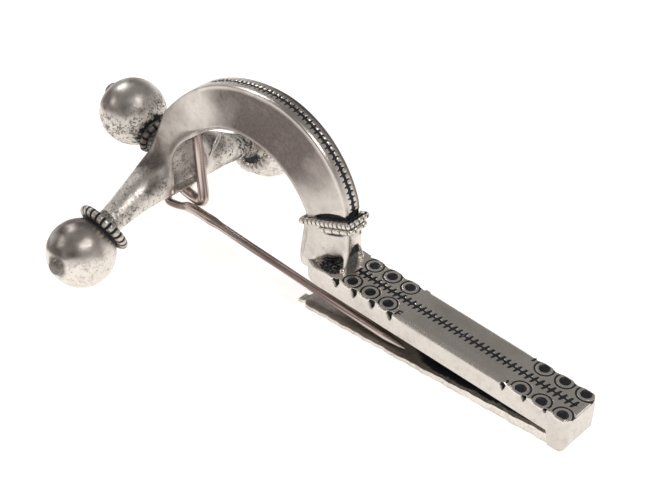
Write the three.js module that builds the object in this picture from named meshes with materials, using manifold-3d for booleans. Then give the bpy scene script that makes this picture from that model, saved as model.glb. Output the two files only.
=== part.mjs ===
// Crossbow fibula: a cast silver-coloured bow brooch with three onion knobs, a ring-and-dot
// foot, and a sprung wire pin. Millimetres, +Z up. The brooch is built in its foot's own frame
// (X along the foot towards its tip, Z = 0 on the foot's flat top, symmetric about Y = 0) and
// is then turned to lie on its two crossbar knobs and the tip of the foot.
import * as THREE from 'three';
import { mergeVertices } from 'three/addons/utils/BufferGeometryUtils.js';
import Module from 'manifold-3d';

const wasm = await Module();
wasm.setup();

// ---- Driving dimensions -------------------------------------------------------------------
const PITCH = 3.1;               // spacing of the ring-and-dot marks, the module of the design

const FOOT_START = -7.3;
const FOOT_END = 35.1;
const FOOT_HALF = 3.62;          // half width at the ring-and-dot fields
const FOOT_THICK = 3.0;
const FOOT_CORNER = 0.7;
const FIELD_ROWS = [2.17, 2.38]; // half distance between the two rows, head field and tip field
const FIELD_STARTS = [0, 27.67];
const RINGS_PER_ROW = 3;
const RING_OUT = 1.38;
const RING_IN = 1.1;
const PIT_RADIUS = 0.74;
const RING_DEPTH = 0.25;
const PIT_DEPTH = 0.35;
const RING_SIDES = 12;
const PIT_SIDES = 8;
const NOTCH_RADIUS = 0.55;
const NOTCH_DEPTH = 1.15;
const BEVEL_START = 8.5;
const BEVEL_END = 25.6;
const BEVEL_SIZE = 0.5;
const LADDER_START = 0.3;
const LADDER_END = 34.3;
const LADDER_TICKS = 40;
const LADDER_DEPTH = 0.3;
const TICK_DEPTH = 0.2;
const LADDER_LINE = 0.34;        // width of the long line
const TICK_LENGTH = 1.25;
const TICK_WIDTH = 0.32;

const CATCH_START = -9.3;        // the lip's free corner
const CATCH_WALL = 0.8;          // thickness of the catch's upright wall
const CATCH_FAR = 3.1;           // outer face of that wall
const CATCH_NEAR = -3.1;         // free edge of the lip
const LIP_THICK = 0.68;
const LIP_THICK_END = 1.6;       // at the closed tip
const LIP_SWELLS = 10;
const LIP_LOW_START = -9.0;      // underside of the lip at the catch's mouth
const LIP_LOW_END = -5.15;       // underside of the foot's closed tip
const TIP_BLOCK = 2.4;           // length of the closed tip
const TONGUE = 1.5;              // how far the lip's free corner stands out from its mouth

const BOW_HALF = 1.48;           // half width of the bow
const NECK_HALF = 1.32;
const BOW_CHAMFER = 0.38;
const HEAD_HALF = 3.6;            // half width where the bow meets the crossbar
const HEAD_BEVEL = 1.3;          // front corners of the bow at the head
const BOW_TOP = { x: -16.1, z: 20.1 };
const BOW_R_FOOT = 14.4;         // outer arc from the top down to the neck
const BOW_R_HEAD = 23.6;         // outer arc from the top down to the head
const ARCH_TOP = { x: -20.15, z: 12.1 };
const ARCH_R_FOOT = 11.9;
const ARCH_R_HEAD = 13.4;
const ARCH_TURN_HEAD = 86;       // degrees the arch falls from its crown to the head
const BOW_LADDER_TICKS = 32;
const NECK_BACK = -9.7;
const NECK_FRONT = -1.7;
const NECK_TOP = 5.2;
const SCOOP_RADIUS = 1.9;
const SHOULDER_TOP = 3.4;        // where the neck starts to spread to the foot's width
const SHOULDER_FRONT = -4.6;

const COLLAR_CENTRE = { x: -5.6, z: 5.65 };
const COLLAR_TILT = 23.5;          // degrees
const COLLAR_HALF = [4.9, 2.05]; // half sizes along and across the bow
const COLLAR_ROW = 0.95;         // height of one corded row
const COLLAR_GROOVE = 0.3;

const BAR_X = -36.6;             // crossbar's centre line
const BAR_Z = -0.35;
const BAR_DROOP = 0.2;           // slope of the arms near the middle
const BAR_SAG = 0.0087;          // and how it grows outward, per millimetre
const ARM_END = 15.6;
const ARM_RADIUS = 1.9;
const ARM_SWELL = 3.4;
const ARM_POWER = 2.1;
const HEAD_DEPTH = 3.45;         // half depth of the crossbar along X at the middle

const KNOB_RADIUS = 4.95;
const KNOB_Y = 18.5;
const KNOB_NUB = 1.25;
const NUB_OUT = 0.6;
const KNOB_TURN = [7, 8];        // degrees: the side knobs' axes rise and lean to the foot
const BEAD_RING = 3.4;           // radius of the beaded collars' centre line
const BEAD_TUBE = 0.85;
const BEADS = 20;
const BEAD_RELIEF = 0.16;
const BEAD_Y = { near: 14.2, far: 15.1 }; // the far collar sits closer to its knob
const HEAD_KNOB = { x: -46.0, z: 3.5 };
const HEAD_KNOB_TILT = 19;       // degrees above the foot's line
const STEM_RADIUS = 2.2;

const POCKET_WALL = 0.85;        // metal left beside the hollow under the bow's root
const POCKET_DEPTH = 2.3;
const POCKET_TOP = 50;           // degrees up the arch
const POCKET_LOW = -3.4;
const SLOT = { near: -2.4, far: 2.0, low: -9.5, high: -4.15, back: -39.5 };
const PEG = { x: -37.3, z: -6.45, radius: 0.36 };

const WIRE_RADIUS = 0.6;
const WIRE_SIDES = 8;
const TURN_RADIUS = 1.2;         // centre line of the turn round the peg
const NEEDLE_Z = -6.1;
const NEEDLE_Y = [-1.4, -1.9];   // at the head and at the point
const NEEDLE_TIP = 9.3;
const NEEDLE_TAPER = 6.5;
const LEG_X = [-32.4, -31.7];    // spring leg: top and bottom
const LEG_TOP = 6.9;
const RETURN_Z = -5.25;

// ---- Materials ----------------------------------------------------------------------------
const silver = new THREE.MeshStandardMaterial({ color: 0x9a938b, roughness: 0.32, metalness: 1 });
const wire = new THREE.MeshStandardMaterial({ color: 0x8d7a74, roughness: 0.3, metalness: 1 });

// ---- Helpers ------------------------------------------------------------------------------
const rad = THREE.MathUtils.degToRad;
const lerp = THREE.MathUtils.lerp;

/** A closed three.js geometry as a solid for cutting and joining. */
function solid(geometry) {
  const bare = geometry.clone();
  bare.deleteAttribute('normal');
  bare.deleteAttribute('uv');
  const merged = mergeVertices(bare, 1e-5);
  return new wasm.Manifold(new wasm.Mesh({
    numProp: 3,
    vertProperties: new Float32Array(merged.attributes.position.array),
    triVerts: new Uint32Array(merged.index.array),
  }));
}

/** A solid back as a named three.js mesh. */
function meshOf(name, body, material) {
  const data = body.getMesh();
  const geometry = new THREE.BufferGeometry();
  geometry.setAttribute('position', new THREE.BufferAttribute(data.vertProperties, 3));
  geometry.setIndex(new THREE.BufferAttribute(data.triVerts, 1));
  geometry.computeVertexNormals();
  const mesh = new THREE.Mesh(geometry, material.clone());
  mesh.name = name;
  return mesh;
}

/** Joins rings of points, each with as many points, into one closed skin with flat ends. */
function loft(rings) {
  const sides = rings[0].length;
  const positions = rings.flat().flatMap((p) => [p.x, p.y, p.z]);
  const faces = [];
  for (let i = 0; i + 1 < rings.length; i += 1) {
    for (let j = 0; j < sides; j += 1) {
      const a = i * sides + j;
      const b = i * sides + ((j + 1) % sides);
      faces.push(a, b, b + sides, a, b + sides, a + sides);
    }
  }
  const last = (rings.length - 1) * sides;
  for (let j = 1; j + 1 < sides; j += 1) {
    faces.push(0, j + 1, j);
    faces.push(last, last + j, last + j + 1);
  }
  const geometry = new THREE.BufferGeometry();
  geometry.setAttribute('position', new THREE.Float32BufferAttribute(positions, 3));
  geometry.setIndex(faces);
  return geometry;
}

/** An outline in the XZ plane, given as [x, z] pairs, made solid from y0 to y1. */
function slab(outline, y0, y1) {
  const shape = new THREE.Shape(outline.map(([x, z]) => new THREE.Vector2(x, z)));
  const geometry = new THREE.ExtrudeGeometry(shape, { depth: y1 - y0, bevelEnabled: false });
  return geometry.rotateX(Math.PI / 2).translate(0, y1, 0);
}

/** An outline in the XY plane, given as [x, y] pairs, made solid from z0 to z1. */
function plate(outline, z0, z1) {
  const shape = new THREE.Shape(outline.map(([x, y]) => new THREE.Vector2(x, y)));
  const geometry = new THREE.ExtrudeGeometry(shape, { depth: z1 - z0, bevelEnabled: false });
  return geometry.translate(0, 0, z0);
}

function box(x0, x1, y0, y1, z0, z1) {
  const geometry = new THREE.BoxGeometry(x1 - x0, y1 - y0, z1 - z0);
  return geometry.translate((x0 + x1) / 2, (y0 + y1) / 2, (z0 + z1) / 2);
}

/** A point on an arc that leaves a crown and falls by `turn` radians, towards `side` (+1, -1). */
function fall(crown, radius, side, turn) {
  return new THREE.Vector2(
    crown.x + side * radius * Math.sin(turn),
    crown.z - radius * (1 - Math.cos(turn)),
  );
}

// ---- Foot ---------------------------------------------------------------------------------
function footPlan() {
  const c = FOOT_CORNER;
  const h = FOOT_HALF;
  const nose = h - 0.35;
  return [
    [FOOT_START + 1.5, -h], [FOOT_END - c, -nose], [FOOT_END, -nose + c],
    [FOOT_END, nose - c], [FOOT_END - c, nose], [FOOT_START + 1.5, h],
    [FOOT_START, h - 0.6], [FOOT_START, -h + 0.6],
  ];
}

/** The lip's underside, straight from the mouth to the closed tip. */
function lipLow(x) {
  const t = (x - CATCH_START) / (FOOT_END - TIP_BLOCK - CATCH_START);
  return lerp(LIP_LOW_START, LIP_LOW_END, Math.min(1, Math.max(0, t)));
}

/** Upright wall and lip below the foot: a channel open towards -Y that closes at the tip. */
function catchPlate() {
  const x0 = CATCH_START + 0.6;
  const x1 = FOOT_END - TIP_BLOCK;
  const x2 = x1 + 1;
  const inTip = LIP_LOW_END + 0.3;
  const wall = slab([
    [x0, -FOOT_THICK + 0.4], [x0 + 0.5, lipLow(x0 + 0.5) + 0.3], [x1, lipLow(x1) + 0.3],
    [x2, inTip + 0.2], [x2, -FOOT_THICK + 0.4],
  ], CATCH_FAR - CATCH_WALL, CATCH_FAR - 0.04);
  const lip = slab([
    [CATCH_START, lipLow(CATCH_START)], [x1, lipLow(x1)], [x2, inTip],
    [x2, inTip + LIP_THICK], [x1, lipLow(x1) + LIP_THICK_END],
    [LIP_SWELLS, lipLow(LIP_SWELLS) + LIP_THICK], [CATCH_START, lipLow(CATCH_START) + LIP_THICK],
  ], CATCH_NEAR - 0.5, CATCH_FAR + 0.5);
  const trimmed = solid(lip).intersect(solid(plate([
    [CATCH_START - 0.3, CATCH_NEAR], [x2 + 0.5, CATCH_NEAR], [x2 + 0.5, CATCH_FAR],
    [CATCH_START + 0.8, CATCH_FAR], [CATCH_START + 0.8, -0.9], [CATCH_START + TONGUE, -1.9],
    [CATCH_START + TONGUE - 0.35, -2.6],
  ], -12, 0)));
  return solid(wall).add(trimmed);
}

function ringCut(x, y) {
  const ring = new THREE.LatheGeometry([
    new THREE.Vector2(RING_IN, -RING_DEPTH), new THREE.Vector2(RING_OUT, -RING_DEPTH),
    new THREE.Vector2(RING_OUT, 0.3), new THREE.Vector2(RING_IN, 0.3),
    new THREE.Vector2(RING_IN, -RING_DEPTH),
  ], RING_SIDES);
  const pit = new THREE.CylinderGeometry(PIT_RADIUS, PIT_RADIUS * 0.6, PIT_DEPTH + 0.3, PIT_SIDES);
  pit.translate(0, 0.3 - (PIT_DEPTH + 0.3) / 2, 0);
  return [ring, pit].map((g) => solid(g.rotateX(Math.PI / 2).translate(x, y, 0)));
}

/** A pointed nick where a line between two rings runs over the foot's edge. */
function edgeNotch(x, side) {
  const cone = new THREE.ConeGeometry(NOTCH_RADIUS, NOTCH_DEPTH + 0.3, 4);
  cone.rotateX(-Math.PI / 2);
  return solid(cone.translate(x, side * (FOOT_HALF + 0.05), 0.3 - (NOTCH_DEPTH + 0.3) / 2));
}

function footCuts() {
  const cuts = [];
  FIELD_STARTS.forEach((start, field) => {
    for (const side of [-1, 1]) {
      for (let i = 0; i < RINGS_PER_ROW; i += 1) {
        cuts.push(...ringCut(start + i * PITCH, side * FIELD_ROWS[field]));
      }
      for (let i = 0; i < RINGS_PER_ROW + 1; i += 1) {
        const x = start + (i - 0.5) * PITCH;
        if (x < FOOT_END - 1) {
          cuts.push(edgeNotch(x, side));
        }
      }
    }
  });
  return cuts;
}

/** Long incised line with short cross strokes, as one comb-shaped cutter. */
function ladderCut() {
  const step = (LADDER_END - LADDER_START) / LADDER_TICKS;
  const upper = [];
  const lower = [];
  for (let i = 0; i < LADDER_TICKS; i += 1) {
    const x = LADDER_START + (i + 0.5) * step;
    const a = x - TICK_WIDTH / 2;
    const b = x + TICK_WIDTH / 2;
    lower.push([a, -LADDER_LINE / 2], [a, -TICK_LENGTH / 2], [b, -TICK_LENGTH / 2]);
    lower.push([b, -LADDER_LINE / 2]);
    upper.push([a, LADDER_LINE / 2], [a, TICK_LENGTH / 2], [b, TICK_LENGTH / 2]);
    upper.push([b, LADDER_LINE / 2]);
  }
  return solid(plate([...lower, ...upper.reverse()], -LADDER_DEPTH, 0.3));
}

/** Bevels along the plain middle of the foot, ending in slanting cuts. */
function bevelCut(side) {
  const y = side * FOOT_HALF;
  const s = BEVEL_SIZE;
  const ring = (x, slant) => [
    new THREE.Vector3(x - slant, y - side * s, 0.02),
    new THREE.Vector3(x, y + side * 0.3, -s - 0.3),
    new THREE.Vector3(x, y + side * 0.3, 0.02),
  ];
  const rings = [ring(BEVEL_START, -1.1), ring(BEVEL_END, 1.1)];
  return solid(loft(side > 0 ? rings : rings.map((r) => [...r].reverse())));
}

function foot() {
  const x1 = FOOT_END - TIP_BLOCK;
  const under = box(FOOT_START - 1, x1, -9, 9, LIP_LOW_END - 1, -FOOT_THICK);
  let body = solid(plate(footPlan(), LIP_LOW_END, 0)).subtract(solid(under)).add(catchPlate());
  for (const side of [-1, 1]) {
    body = body.subtract(bevelCut(side));
  }
  return body;
}

// ---- Bow and neck -------------------------------------------------------------------------
/** Half width of the bow: it spreads towards the head. */
function bowHalf(t) {
  const spread = THREE.MathUtils.smoothstep(-t, 0.3, 0.95);
  return lerp(BOW_HALF, HEAD_HALF, spread) - (t > 0 ? (BOW_HALF - NECK_HALF) * t : 0);
}

/** Outer and inner line of the bow at t, from -1 at the head to +1 at the neck. */
function bowLines(t) {
  const outer = t < 0
    ? fall(BOW_TOP, BOW_R_HEAD, -1, -t * rad(84))
    : fall(BOW_TOP, BOW_R_FOOT, 1, t * rad(72));
  const inner = t < 0
    ? fall(ARCH_TOP, ARCH_R_HEAD, -1, -t * rad(ARCH_TURN_HEAD))
    : fall(ARCH_TOP, ARCH_R_FOOT, 1, t * rad(66));
  return { outer, inner };
}

/** The bow from the head to the neck, and the neck down into the foot, as one skin. */
function bow() {
  const c = BOW_CHAMFER;
  const section = (outer, inner, w, d) => {
    const span = outer.distanceTo(inner);
    const at = (depth, y) => {
      const p = outer.clone().lerp(inner, depth / span);
      return new THREE.Vector3(p.x, y, p.y);
    };
    return [
      at(0, -w + c), at(c, -w), at(span - d, -w), at(span, -w + d),
      at(span, w - d), at(span - d, w), at(c, w), at(0, w - c),
    ];
  };
  const rings = [];
  const steps = 26;
  for (let i = 0; i <= steps; i += 1) {
    const t = lerp(-1, 1, i / steps);
    const { outer, inner } = bowLines(t);
    const d = lerp(0.2, HEAD_BEVEL, THREE.MathUtils.smoothstep(-t, 0.3, 0.8));
    rings.push(section(outer, inner, bowHalf(t), d));
  }
  for (const [top, drop] of [[NECK_TOP, 1], [-FOOT_THICK / 2, 0]]) {
    const front = new THREE.Vector2(NECK_FRONT, top);
    const back = new THREE.Vector2(NECK_BACK, top - drop);
    rings.push(section(front, back, NECK_HALF, 0.2));
  }
  return solid(loft(rings));
}

/** The back of the neck spreads sideways on its way down to meet the foot's edges. */
function neckShoulder() {
  const ring = (points, z) => points.map(([x, y]) => new THREE.Vector3(x, y, z));
  const low = [
    [SHOULDER_FRONT, -1.1], [SHOULDER_FRONT, 1.1], [-7.0, FOOT_HALF - 0.2],
    [NECK_BACK + 1.1, FOOT_HALF - 1.3], [NECK_BACK + 1.1, 1.3 - FOOT_HALF], [-7.0, 0.2 - FOOT_HALF],
  ];
  const high = [
    [SHOULDER_FRONT - 1, -0.9], [SHOULDER_FRONT - 1, 0.9], [-7.6, NECK_HALF - 0.1],
    [NECK_BACK + 0.3, NECK_HALF - 0.1], [NECK_BACK + 0.3, 0.1 - NECK_HALF], [-7.6, 0.1 - NECK_HALF],
  ];
  return solid(loft([ring(low, -1.2), ring(high, SHOULDER_TOP)]));
}

/** Two corded rows round the neck, tilted square to the bow, nicked into beads. */
function neckCollar() {
  const [hx, hy] = COLLAR_HALF;
  const gap = COLLAR_GROOVE / 2;
  const placed = (geometry) => solid(
    geometry.rotateY(-rad(COLLAR_TILT)).translate(COLLAR_CENTRE.x, 0, COLLAR_CENTRE.z),
  );
  let band = placed(box(-hx + 0.4, hx - 0.4, -hy + 0.4, hy - 0.4, -0.5, 0.5));
  for (const z0 of [-COLLAR_ROW - gap, gap]) {
    band = band.add(placed(box(-hx, hx, -hy, hy, z0, z0 + COLLAR_ROW)));
  }
  const nick = 0.3;
  const cuts = [];
  const along = 8;
  for (let i = 1; i < along; i += 1) {
    const x = lerp(-hx, hx, i / along);
    for (const side of [-1, 1]) {
      const y = side * hy;
      cuts.push(placed(box(x - nick / 2, x + nick / 2, y - nick, y + nick, -2, 2)));
    }
  }
  for (const side of [-1, 1]) {
    for (const y of [-0.68, 0.68]) {
      const x = side * hx;
      cuts.push(placed(box(x - nick, x + nick, y - nick / 2, y + nick / 2, -2, 2)));
    }
  }
  for (const cut of cuts) {
    band = band.subtract(cut);
  }
  return band;
}

/** Hollows at the root of the neck and the grooves above its collar. */
function neckHollows() {
  const ball = (x, y, z, r) => solid(new THREE.SphereGeometry(r, 10, 6).translate(x, y, z));
  const cuts = [
    ball(-3.9, -NECK_HALF - 1.15, 0.9, SCOOP_RADIUS),
    ball(-3.9, NECK_HALF + 1.15, 0.9, SCOOP_RADIUS),
    ball(NECK_FRONT + 1.0, 0, 1.9, SCOOP_RADIUS * 0.85),
  ];
  for (const side of [-1, 1]) {
    const groove = box(-2.0, 4.2, -0.45, 0.45, -0.5, 0.5).rotateY(-rad(COLLAR_TILT));
    groove.translate(COLLAR_CENTRE.x - 0.5, side * (NECK_HALF + 0.2), COLLAR_CENTRE.z + 1.5);
    cuts.push(solid(groove));
  }
  return cuts;
}

/** The same ladder line as on the foot, laid over the bow's back. */
function bowLadderCuts() {
  const first = -0.36;
  const last = 0.93;
  const steps = 28;
  const w = LADDER_LINE / 2;
  const rings = [];
  const frame = (t) => {
    const { outer } = bowLines(t);
    const crown = new THREE.Vector2(BOW_TOP.x, BOW_TOP.z - (t < 0 ? BOW_R_HEAD : BOW_R_FOOT));
    return { outer, normal: outer.clone().sub(crown).normalize() };
  };
  for (let i = 0; i <= steps; i += 1) {
    const { outer, normal } = frame(lerp(first, last, i / steps));
    const low = outer.clone().addScaledVector(normal, -LADDER_DEPTH);
    const high = outer.clone().addScaledVector(normal, 0.3);
    rings.push([
      new THREE.Vector3(high.x, -w, high.y), new THREE.Vector3(low.x, -w, low.y),
      new THREE.Vector3(low.x, w, low.y), new THREE.Vector3(high.x, w, high.y),
    ]);
  }
  const cuts = [solid(loft(rings))];
  for (let i = 0; i < BOW_LADDER_TICKS; i += 1) {
    const { outer, normal } = frame(lerp(first, last, (i + 0.5) / BOW_LADDER_TICKS));
    const tick = new THREE.BoxGeometry(TICK_WIDTH, TICK_LENGTH, TICK_DEPTH * 2);
    tick.rotateY(Math.atan2(normal.x, normal.y)).translate(outer.x, 0, outer.y);
    cuts.push(solid(tick));
  }
  return cuts;
}

// ---- Head ---------------------------------------------------------------------------------
function barCentre(y) {
  const a = Math.abs(y);
  return new THREE.Vector3(BAR_X, y, BAR_Z - BAR_DROOP * a - BAR_SAG * a * a);
}

function barRadius(y) {
  const t = Math.max(0, 1 - Math.abs(y) / ARM_END);
  return ARM_RADIUS + ARM_SWELL * t ** ARM_POWER;
}

/** One tapering bar from knob to knob, arched downward, oval in the middle. */
function crossbar() {
  const stations = 16;
  const sides = 14;
  const rings = [];
  const reach = KNOB_Y - 0.5;
  for (let i = 0; i <= stations; i += 1) {
    const y = lerp(-reach, reach, i / stations);
    const c = barCentre(y);
    const rz = barRadius(y);
    const rx = Math.min(rz, HEAD_DEPTH);
    const ring = [];
    for (let j = 0; j < sides; j += 1) {
      const a = (j / sides) * 2 * Math.PI;
      ring.push(new THREE.Vector3(c.x + rx * Math.sin(a), y, c.z + rz * Math.cos(a)));
    }
    rings.push(ring);
  }
  return solid(loft(rings));
}

/** Onion knob on the origin with its nub along +Z. */
function knob() {
  const profile = [new THREE.Vector2(0, -KNOB_RADIUS)];
  const rows = 10;
  const nubAngle = Math.asin(KNOB_NUB / KNOB_RADIUS);
  for (let i = 1; i <= rows; i += 1) {
    const a = lerp(Math.PI, nubAngle, i / rows);
    profile.push(new THREE.Vector2(KNOB_RADIUS * Math.sin(a), KNOB_RADIUS * Math.cos(a)));
  }
  profile.push(new THREE.Vector2(KNOB_NUB * 0.8, KNOB_RADIUS + NUB_OUT));
  profile.push(new THREE.Vector2(0, KNOB_RADIUS + NUB_OUT));
  return new THREE.LatheGeometry(profile, 18).rotateX(Math.PI / 2);
}

/** Thick round disc on +Z with a beaded rim. */
function beadedDisc(radius, tube, beads) {
  const steps = beads * 2;
  const rim = [-90, -35, 35, 90].map(rad);
  const rows = rim.length;
  const positions = [0, 0, -tube, 0, 0, tube];
  for (let i = 0; i < steps; i += 1) {
    const a = (i / steps) * 2 * Math.PI;
    const r = tube + (i % 2 ? -BEAD_RELIEF : BEAD_RELIEF);
    for (const b of rim) {
      const out = radius + r * Math.cos(b);
      positions.push(out * Math.cos(a), out * Math.sin(a), r * Math.sin(b));
    }
  }
  const faces = [];
  for (let i = 0; i < steps; i += 1) {
    const here = 2 + i * rows;
    const next = 2 + ((i + 1) % steps) * rows;
    faces.push(0, next, here, 1, here + rows - 1, next + rows - 1);
    for (let j = 0; j + 1 < rows; j += 1) {
      faces.push(here + j, next + j, next + j + 1, here + j, next + j + 1, here + j + 1);
    }
  }
  const geometry = new THREE.BufferGeometry();
  geometry.setAttribute('position', new THREE.Float32BufferAttribute(positions, 3));
  geometry.setIndex(faces);
  return geometry;
}

function armEnd(side) {
  const centre = barCentre(KNOB_Y);
  const [rise, lean] = KNOB_TURN.map(rad);
  const ball = knob().rotateX(-side * (Math.PI / 2 - rise)).rotateZ(-side * lean);
  ball.translate(centre.x, side * KNOB_Y, centre.z);
  const beadY = side < 0 ? BEAD_Y.near : BEAD_Y.far;
  const ringAt = barCentre(beadY);
  const slope = Math.atan(BAR_DROOP + 2 * BAR_SAG * beadY);
  const disc = beadedDisc(BEAD_RING, BEAD_TUBE, BEADS).rotateX(-side * (Math.PI / 2 + slope));
  disc.translate(ringAt.x, side * beadY, ringAt.z);
  return solid(ball).add(solid(disc));
}

/** The third knob, behind the head, on a short stem with a narrow collar. */
function headKnob() {
  const tilt = rad(HEAD_KNOB_TILT);
  const place = (g) => g.rotateY(tilt - Math.PI / 2).translate(HEAD_KNOB.x, 0, HEAD_KNOB.z);
  const stem = new THREE.CylinderGeometry(STEM_RADIUS, STEM_RADIUS * 1.3, 6, 12);
  stem.rotateX(Math.PI / 2).translate(0, 0, -KNOB_RADIUS - 1.6);
  const ring = beadedDisc(2.5, 0.62, 14).translate(0, 0, -KNOB_RADIUS - 0.35);
  return solid(place(knob())).add(solid(place(stem))).add(solid(place(ring)));
}

/** Hollow under the bow's root, as wide as the bow leaves it, and the slot for the pin's turn. */
function headCuts() {
  const centre = { x: ARCH_TOP.x, z: ARCH_TOP.z - ARCH_R_HEAD };
  const rings = [];
  const steps = 8;
  const low = THREE.MathUtils.radToDeg(Math.asin((POCKET_LOW - centre.z) / ARCH_R_HEAD));
  for (let i = 0; i <= steps; i += 1) {
    const angle = lerp(low, POCKET_TOP, i / steps);
    const t = -(90 - angle) / ARCH_TURN_HEAD;
    const w = bowHalf(Math.max(-1, t)) - POCKET_WALL;
    const depth = POCKET_DEPTH * Math.min(1, 0.6 + 1.3 * (1 - i / steps));
    const at = (radius, y) => new THREE.Vector3(
      centre.x - radius * Math.cos(rad(angle)), y, centre.z + radius * Math.sin(rad(angle)),
    );
    const [r0, r1] = [ARCH_R_HEAD - 5, ARCH_R_HEAD + depth];
    rings.push([at(r0, -w), at(r0, w), at(r1, w), at(r1, -w)]);
  }
  const slot = box(SLOT.back, BAR_X + 6, SLOT.near, SLOT.far, SLOT.low, SLOT.high);
  return { pocket: solid(loft(rings)), slot: solid(slot) };
}

function lug() {
  const cheek = new THREE.CylinderGeometry(1.5, 1.5, 1.3, 14);
  return solid(cheek.translate(PEG.x, SLOT.far + 0.65, PEG.z));
}

function peg() {
  const bar = new THREE.CylinderGeometry(PEG.radius, PEG.radius, SLOT.far - SLOT.near + 0.2, 8);
  return solid(bar.translate(PEG.x, (SLOT.far + SLOT.near) / 2 + 0.3, PEG.z));
}

// ---- Body ---------------------------------------------------------------------------------
function castBody() {
  const { pocket, slot } = headCuts();
  let body = foot().add(bow()).add(neckShoulder());
  for (const cut of neckHollows()) {
    body = body.subtract(cut);
  }
  body = body.add(neckCollar()).add(crossbar()).add(lug());
  body = body.subtract(pocket).subtract(slot).add(peg());
  body = body.add(armEnd(-1)).add(armEnd(1)).add(headKnob());
  for (const cut of [...footCuts(), ladderCut(), ...bowLadderCuts()]) {
    body = body.subtract(cut);
  }
  return body;
}

// ---- Pin ----------------------------------------------------------------------------------
/** Centre line of the wire, from the top of the spring leg to the needle's point. */
function wirePath() {
  const points = [];
  const push = (x, y, z) => points.push(new THREE.Vector3(x, y, z));
  const bend = 1.15;
  push(LEG_X[0], 0, LEG_TOP);
  push(lerp(LEG_X[0], LEG_X[1], 0.5), 0, lerp(LEG_TOP, RETURN_Z, 0.5));
  push(LEG_X[1], 0, RETURN_Z + bend * 1.2);
  for (let i = 1; i <= 4; i += 1) {
    const a = rad(90 * (i / 4) + 8);
    push(LEG_X[1] - bend * (1 - Math.cos(a)), 0, RETURN_Z + bend * (1 - Math.sin(a)));
  }
  push(PEG.x + 2.0, 0, RETURN_Z);
  const turns = 8;
  for (let i = 0; i <= turns; i += 1) {
    const a = rad(lerp(90, 270, i / turns));
    const y = lerp(0, NEEDLE_Y[0], i / turns);
    push(PEG.x + TURN_RADIUS * Math.cos(a), y, PEG.z + TURN_RADIUS * Math.sin(a));
  }
  push(PEG.x + 2.2, NEEDLE_Y[0], PEG.z - TURN_RADIUS + 0.45);
  push(PEG.x + 4.2, NEEDLE_Y[0] - 0.02, NEEDLE_Z - 0.3);
  push(PEG.x + 6.5, NEEDLE_Y[0] - 0.05, NEEDLE_Z);
  for (const t of [0.3, 0.6, 0.85, 0.93, 1]) {
    const x = lerp(PEG.x + 6.5, NEEDLE_TIP, t);
    push(x, lerp(NEEDLE_Y[0] - 0.05, NEEDLE_Y[1], t), NEEDLE_Z);
  }
  return points;
}

function pin() {
  const path = wirePath();
  const rings = [];
  let side = new THREE.Vector3(0, 1, 0);
  path.forEach((p, i) => {
    const before = path[Math.max(0, i - 1)];
    const after = path[Math.min(path.length - 1, i + 1)];
    const along = after.clone().sub(before).normalize();
    side = side.clone().addScaledVector(along, -side.dot(along)).normalize();
    const up = along.clone().cross(side);
    const left = NEEDLE_TIP - p.x;
    const r = i > 20 ? WIRE_RADIUS * Math.min(1, 0.12 + 0.88 * (left / NEEDLE_TAPER)) : WIRE_RADIUS;
    const ring = [];
    for (let j = 0; j < WIRE_SIDES; j += 1) {
      const a = (j / WIRE_SIDES) * 2 * Math.PI;
      const v = p.clone().addScaledVector(side, r * Math.cos(a)).addScaledVector(up, r * Math.sin(a));
      ring.push(v);
    }
    rings.push(ring);
  });
  return solid(loft(rings));
}

// ---- Assembly -----------------------------------------------------------------------------
/** Turn that brings the two side knobs and the tip of the foot onto one level plane. */
function restTurn() {
  const k = barCentre(KNOB_Y);
  const dx = FOOT_END - k.x;
  const dz = LIP_LOW_END - k.z;
  return Math.atan2(dz, dx) + Math.asin(KNOB_RADIUS / Math.hypot(dx, dz));
}

const brooch = new THREE.Group();
brooch.name = 'crossbow_fibula';
brooch.add(meshOf('cast_body', castBody(), silver));
brooch.add(meshOf('pin_wire', pin(), wire));
brooch.rotation.y = restTurn();
const extent = new THREE.Box3().setFromObject(brooch, true);
const middle = extent.getCenter(new THREE.Vector3());
brooch.position.set(-middle.x, -middle.y, -extent.min.z);
brooch.updateMatrixWorld(true);

export default brooch;
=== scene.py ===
"""Crossbow fibula lying loose: a cast silver brooch with blackened hollows and its wire pin."""
import math

import bmesh
import bpy
from mathutils import Matrix, Vector, noise


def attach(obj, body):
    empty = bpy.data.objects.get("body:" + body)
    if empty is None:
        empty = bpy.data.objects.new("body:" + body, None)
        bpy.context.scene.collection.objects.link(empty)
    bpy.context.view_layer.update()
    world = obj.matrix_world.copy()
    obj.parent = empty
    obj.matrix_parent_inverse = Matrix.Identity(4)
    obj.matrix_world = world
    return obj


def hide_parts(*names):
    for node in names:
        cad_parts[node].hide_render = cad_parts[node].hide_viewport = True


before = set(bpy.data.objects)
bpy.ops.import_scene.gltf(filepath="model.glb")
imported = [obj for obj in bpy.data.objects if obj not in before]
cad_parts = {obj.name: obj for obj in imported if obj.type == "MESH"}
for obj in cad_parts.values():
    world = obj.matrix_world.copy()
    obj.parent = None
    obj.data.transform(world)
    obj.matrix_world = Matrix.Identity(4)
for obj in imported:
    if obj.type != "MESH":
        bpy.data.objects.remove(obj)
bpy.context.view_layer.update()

# ---- Sizes, in millimetres in the foot's own frame ----
# X runs along the foot to its tip, Z = 0 is the foot's flat top, and Y = 0 the middle.
REST_TURN = math.radians(5.457392)
REST_SHIFT = Vector((7.98872, 0, 8.46486))
TO_ROW = (
    Matrix.Scale(0.001, 4)
    @ Matrix.Translation(REST_SHIFT)
    @ Matrix.Rotation(REST_TURN, 4, "Y")
)

PITCH = 3.1
FOOT_START, FOOT_END = -7.3, 35.1
FOOT_HALF, FOOT_NOSE = 3.62, 3.27
FOOT_THICK = 3.0
FOOT_CORNER = 0.7
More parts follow.
